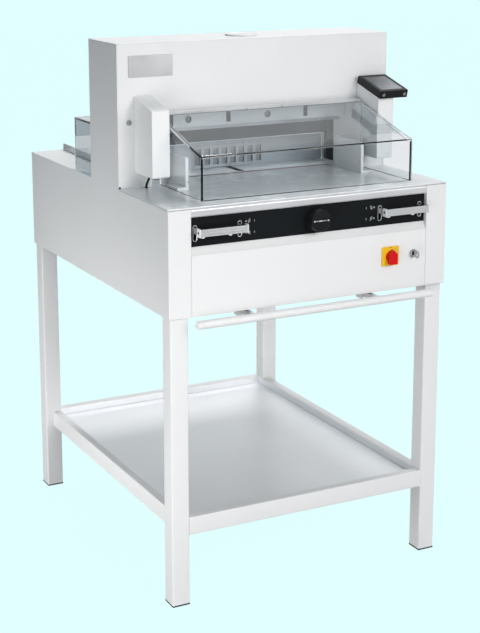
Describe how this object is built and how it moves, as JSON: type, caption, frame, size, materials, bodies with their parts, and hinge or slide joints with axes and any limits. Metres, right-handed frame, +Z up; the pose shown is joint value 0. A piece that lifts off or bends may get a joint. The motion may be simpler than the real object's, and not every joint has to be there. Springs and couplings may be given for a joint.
{
  "type": "stack paper cutter",
  "caption": "Electric stack paper cutter on a square-tube stand: swing-cut knife, clamp and driven backgauge under a hinged clear guard, with two-hand bars and a shelf.",
  "frame": {"origin": "on the floor, under the middle of the footprint (front bar to rear panel)", "axes": "+Z up, -Y is the operator's side with the guard and controls, +X is the operator's right"},
  "size_m": [0.757, 0.943, 1.322],
  "materials": {
    "white_coat": "fine powder coat",
    "tray_grey": "satin grey coat",
    "plate_dark": "dark primer",
    "pad_black": "moulded rubber",
    "table_steel": "ground and polished",
    "lip_aluminium": "satin anodised",
    "fascia_black": "fine matte",
    "frame_iron": "machined casting",
    "stick_red": "smooth",
    "badge_metal": "brushed, bare",
    "screw_steel": "turned",
    "carrier_steel": "ground",
    "blade_steel": "fine ground",
    "clamp_dark": "dark machined",
    "ram_blue": "enamel",
    "rod_steel": "ground rod",
    "motor_black": "satin enamel",
    "belt_rubber": "toothed rubber",
    "fence_metal": "machined",
    "box_white": "fine moulded grain",
    "clear_acrylic": "clear, polished edges",
    "rail_aluminium": "satin extruded",
    "display_black": "fine moulded grain",
    "screen_grey": "smooth film",
    "lay_white": "smooth",
    "cable_black": "matte sheath",
    "dial_black": "fine matte",
    "unit_grey": "moulded",
    "bar_aluminium": "satin anodised",
    "switch_yellow": "moulded",
    "handle_red": "moulded",
    "lock_chrome": "plated",
    "key_steel": "nickel plated",
    "inlet_black": "moulded"
  },
  "bodies": {
    "machine": {"stand_legs": "white_coat", "foot_pads": "pad_black", "shelf_rails": "white_coat", "shelf_tray": "tray_grey", "base_plate": "plate_dark", "side_panel_left": "white_coat", "side_panel_right": "white_coat", "front_panel": "white_coat", "rear_panel": "white_coat", "table_lip": "lip_aluminium", "control_fascia": "fascia_black", "table_bed": "frame_iron", "front_table": "table_steel", "rear_table": "table_steel", "cutting_stick": "stick_red", "portal_frame": "frame_iron", "portal_front_cover": "white_coat", "portal_rear_cover": "white_coat", "portal_top_cover": "white_coat", "top_cap": "box_white", "badge_plate": "badge_metal", "cover_screws": "screw_steel", "knife_guide_blocks": "frame_iron", "knife_cylinder": "ram_blue", "clamp_cylinder": "ram_blue", "hydraulic_unit": "ram_blue", "backgauge_guide_rods": "rod_steel", "backgauge_bearings": "frame_iron", "backgauge_motor": "motor_black", "drive_belt": "belt_rubber", "hinge_box_left": "box_white", "hinge_box_right": "box_white", "display_housing": "display_black", "display_screen": "screen_grey", "side_lays": "lay_white", "rear_guard": "clear_acrylic", "guard_cable": "cable_black", "control_unit": "unit_grey", "main_switch": "switch_yellow", "key_lock": "lock_chrome", "mains_inlet": "inlet_black"},
    "guard": {"guard_pane": "clear_acrylic", "guard_rail": "rail_aluminium"},
    "knife": {"knife_carrier": "carrier_steel", "knife_blade": "blade_steel", "knife_bolts": "screw_steel"},
    "pull_rod": {"knife_pull_rod": "rod_steel"},
    "knife_piston": {"knife_piston_rod": "rod_steel"},
    "clamp": {"clamp_beam": "clamp_dark", "clamp_linkage": "rod_steel"},
    "backgauge": {"backgauge_fence": "fence_metal", "backgauge_carriage": "rod_steel"},
    "spindle": {"backgauge_spindle": "rod_steel"},
    "gauge_pulley": {"motor_pulley": "rod_steel"},
    "dial": {"control_dial": "dial_black"},
    "bar_left": {"activation_bar_left": "bar_aluminium"},
    "bar_right": {"activation_bar_right": "bar_aluminium"},
    "main_handle": {"switch_handle": "handle_red"},
    "lock_key": {"key": "key_steel"},
    "front_bar": {"knee_bar": "white_coat"}
  },
  "joints": [
    {"name": "guard_hinge", "type": "hinge", "parent": "machine", "child": "guard", "pos_m": [0, -0.1675, 1.1475], "axis": [-1, 0, 0], "range_deg": [0, 70]},
    {"name": "knife_slide", "type": "slide", "parent": "machine", "child": "knife", "axis": [-0.3247, 0, -0.9458], "range_m": [0, 0.12106]},
    {"name": "pull_rod_swing", "type": "hinge", "parent": "knife", "child": "pull_rod", "pos_m": [-0.309, -0.1035, 1.294], "axis": [0, -1, 0], "range_deg": [0, 8.68]},
    {"name": "knife_piston_slide", "type": "slide", "parent": "machine", "child": "knife_piston", "axis": [0, 0, -1], "range_m": [0, 0.1146]},
    {"name": "clamp_slide", "type": "slide", "parent": "machine", "child": "clamp", "axis": [0, 0, -1], "range_m": [0, 0.081]},
    {"name": "backgauge_slide", "type": "slide", "parent": "machine", "child": "backgauge", "axis": [0, 1, 0], "range_m": [-0.052, 0.371]},
    {"name": "spindle_spin", "type": "hinge", "parent": "machine", "child": "spindle", "pos_m": [0, 0.2065, 0.927], "axis": [0, 1, 0], "continuous": true},
    {"name": "gauge_pulley_spin", "type": "hinge", "parent": "machine", "child": "gauge_pulley", "pos_m": [0, 0.4565, 0.85], "axis": [0, 1, 0], "continuous": true},
    {"name": "dial_turn", "type": "hinge", "parent": "machine", "child": "dial", "pos_m": [0.0105, -0.4335, 0.911], "axis": [0, 1, 0], "range_deg": [-40, 40], "stiffness_Nm_per_rad": 0.15},
    {"name": "bar_left_press", "type": "hinge", "parent": "machine", "child": "bar_left", "pos_m": [-0.249, -0.3585, 0.9135], "axis": [1, 0, 0], "range_deg": [0, 7], "stiffness_Nm_per_rad": 3, "springref_deg": -17.19},
    {"name": "bar_right_press", "type": "hinge", "parent": "machine", "child": "bar_right", "pos_m": [0.249, -0.3585, 0.9135], "axis": [1, 0, 0], "range_deg": [0, 7], "stiffness_Nm_per_rad": 3, "springref_deg": -17.19},
    {"name": "main_handle_turn", "type": "hinge", "parent": "machine", "child": "main_handle", "pos_m": [0.216, -0.4335, 0.8], "axis": [0, 1, 0], "range_deg": [0, 90]},
    {"name": "key_turn", "type": "hinge", "parent": "machine", "child": "lock_key", "pos_m": [0.283, -0.4335, 0.8], "axis": [0, 1, 0], "range_deg": [0, 90]},
    {"name": "front_bar_press", "type": "hinge", "parent": "machine", "child": "front_bar", "pos_m": [0, -0.3885, 0.701], "axis": [1, 0, 0], "range_deg": [0, 12], "stiffness_Nm_per_rad": 6, "springref_deg": -25.78}
  ],
  "couplings": [
    {"joint": "pull_rod_swing", "follows": "knife_slide", "rad_per_m": 1.2502},
    {"joint": "knife_piston_slide", "follows": "knife_slide", "ratio": 0.9458},
    {"joint": "spindle_spin", "follows": "backgauge_slide", "rad_per_m": -314.16},
    {"joint": "gauge_pulley_spin", "follows": "backgauge_slide", "rad_per_m": -314.16}
  ]
}
